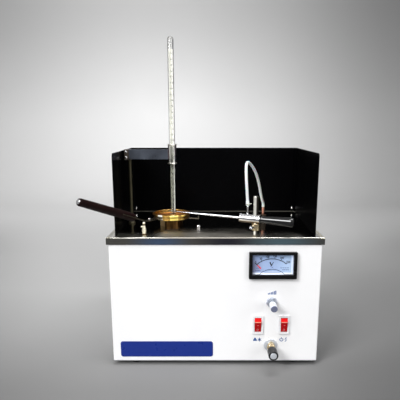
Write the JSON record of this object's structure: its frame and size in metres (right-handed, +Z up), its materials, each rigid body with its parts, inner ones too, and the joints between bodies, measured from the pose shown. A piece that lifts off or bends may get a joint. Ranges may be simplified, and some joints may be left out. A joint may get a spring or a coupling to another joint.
{
  "type": "flash point tester",
  "caption": "Open-cup flash point tester: heated cup with handle, windshield, clamped thermometer and swinging test flame on a cabinet with meter, knobs and switches.",
  "frame": {"origin": "on the bench, under the middle of the tester's bounding box", "axes": "+Z up, +Y to the back, +X to the right as seen from the front panel"},
  "size_m": [0.3842, 0.3293, 0.5624],
  "materials": {
    "white_paint": "semi-gloss powder coat",
    "zinc_sheet": "plated sheet",
    "deck_steel": "polished stainless sheet",
    "black_paint": "semi-gloss black enamel",
    "screw_steel": "plated",
    "foot_rubber": "moulded",
    "meter_black": "moulded",
    "dial_paper": "printed plate",
    "meter_window": "clear",
    "needle_red": "painted",
    "pot_grey": "moulded",
    "nut_chrome": "plated",
    "knob_satin": "satin",
    "switch_white": "moulded",
    "rocker_red": "moulded",
    "valve_brass": "machined",
    "valve_chrome": "polished",
    "knob_black": "moulded, knurled",
    "copper_pipe": "drawn tube",
    "heater_iron": "turned",
    "ceramic": "fired",
    "cup_brass": "turned, heat tinted",
    "strap_steel": "bent strip",
    "grip_brown": "moulded phenolic",
    "post_steel": "turned",
    "clamp_grey": "cast, painted",
    "arm_steel": "brushed strip",
    "sleeve_chrome": "polished",
    "thermometer_glass": "clear, with a scale",
    "mercury": "liquid metal",
    "block_aluminium": "turned",
    "tube_steel": "polished",
    "handle_black": "moulded",
    "hose_silicone": "translucent white silicone",
    "bead_brass": "turned",
    "fan_black": "moulded",
    "board_green": "coated"
  },
  "bodies": {
    "root": {"cabinet_shell": "white_paint", "base_pan": "zinc_sheet", "rear_panel": "white_paint", "deck_plate": "deck_steel", "windshield": "black_paint", "shield_bracket": "black_paint", "deck_screws": "screw_steel", "rubber_feet": "foot_rubber", "casing_screws": "screw_steel", "meter_case": "meter_black", "meter_dial": "dial_paper", "meter_lens": "meter_window", "meter_cover": "dial_paper", "regulator_pot": "pot_grey", "regulator_nut": "nut_chrome", "switch_housing_left": "switch_white", "switch_housing_right": "switch_white", "valve_body": "valve_brass", "valve_flange": "valve_chrome", "gas_pipes": "copper_pipe", "deck_nipple": "copper_pipe", "rear_nipple": "valve_brass", "heater_plate": "heater_iron", "heater_element": "ceramic", "heater_pot": "zinc_sheet", "heater_studs": "screw_steel", "seat_ring": "ceramic", "thermometer_post": "post_steel", "clamp_block": "clamp_grey", "clamp_screws": "screw_steel", "clamp_arm": "arm_steel", "clamp_sleeve": "sleeve_chrome", "flame_post": "tube_steel", "flame_collar": "bead_brass", "gas_hose": "hose_silicone", "bead_post": "bead_brass", "fan_frame": "fan_black", "fan_guard": "screw_steel", "power_board": "board_green", "power_inlet": "fan_black"},
    "cup": {"cup_body": "cup_brass", "cup_strap": "strap_steel", "cup_grip": "grip_brown", "cup_button": "screw_steel", "cup_rivets": "screw_steel"},
    "thermometer": {"thermometer_tube": "thermometer_glass", "thermometer_core": "mercury"},
    "flame_arm": {"arm_block": "block_aluminium", "flame_tube": "tube_steel", "arm_nipple": "tube_steel", "arm_handle": "handle_black"},
    "voltage_knob": {"regulator_shaft": "screw_steel", "regulator_knob": "knob_satin"},
    "gas_knob": {"valve_stem": "screw_steel", "valve_knob": "knob_black", "valve_insert": "valve_chrome"},
    "left_rocker": {"rocker_left": "rocker_red"},
    "right_rocker": {"rocker_right": "rocker_red"},
    "needle": {"meter_needle": "needle_red"},
    "rotor": {"fan_rotor": "fan_black"}
  },
  "joints": [
    {"name": "cup_turn", "type": "hinge", "parent": "root", "child": "cup", "pos_m": [-0.068, 0.0035, 0.253], "axis": [0, 0, 1], "range_deg": [-3, 8]},
    {"name": "thermometer_slide", "type": "slide", "parent": "root", "child": "thermometer", "axis": [0, 0, 1], "range_m": [0, 0.12]},
    {"name": "flame_swing", "type": "hinge", "parent": "root", "child": "flame_arm", "pos_m": [0.0805, -0.067, 0.255], "axis": [0, 0, 1], "range_deg": [-4, 60], "deforming": ["gas_hose"]},
    {"name": "voltage_turn", "type": "hinge", "parent": "root", "child": "voltage_knob", "pos_m": [0.1075, -0.105, 0.1175], "axis": [0, 1, 0], "range_deg": [0, 270]},
    {"name": "gas_turn", "type": "hinge", "parent": "root", "child": "gas_knob", "pos_m": [0.1075, -0.105, 0.0385], "axis": [0, -1, 0], "range_deg": [0, 720]},
    {"name": "left_rocker_tilt", "type": "hinge", "parent": "root", "child": "left_rocker", "pos_m": [0.0851, -0.092, 0.0758], "axis": [-1, 0, 0], "range_deg": [0, 18]},
    {"name": "right_rocker_tilt", "type": "hinge", "parent": "root", "child": "right_rocker", "pos_m": [0.1299, -0.092, 0.0758], "axis": [-1, 0, 0], "range_deg": [0, 18]},
    {"name": "needle_swing", "type": "hinge", "parent": "root", "child": "needle", "pos_m": [0.1065, -0.0956, 0.1623], "axis": [0, 1, 0], "range_deg": [0, 100], "stiffness_Nm_per_rad": 0.00002},
    {"name": "fan_spin", "type": "hinge", "parent": "root", "child": "rotor", "pos_m": [-0.068, 0.136, 0.128], "axis": [0, 1, 0], "continuous": true}
  ]
}
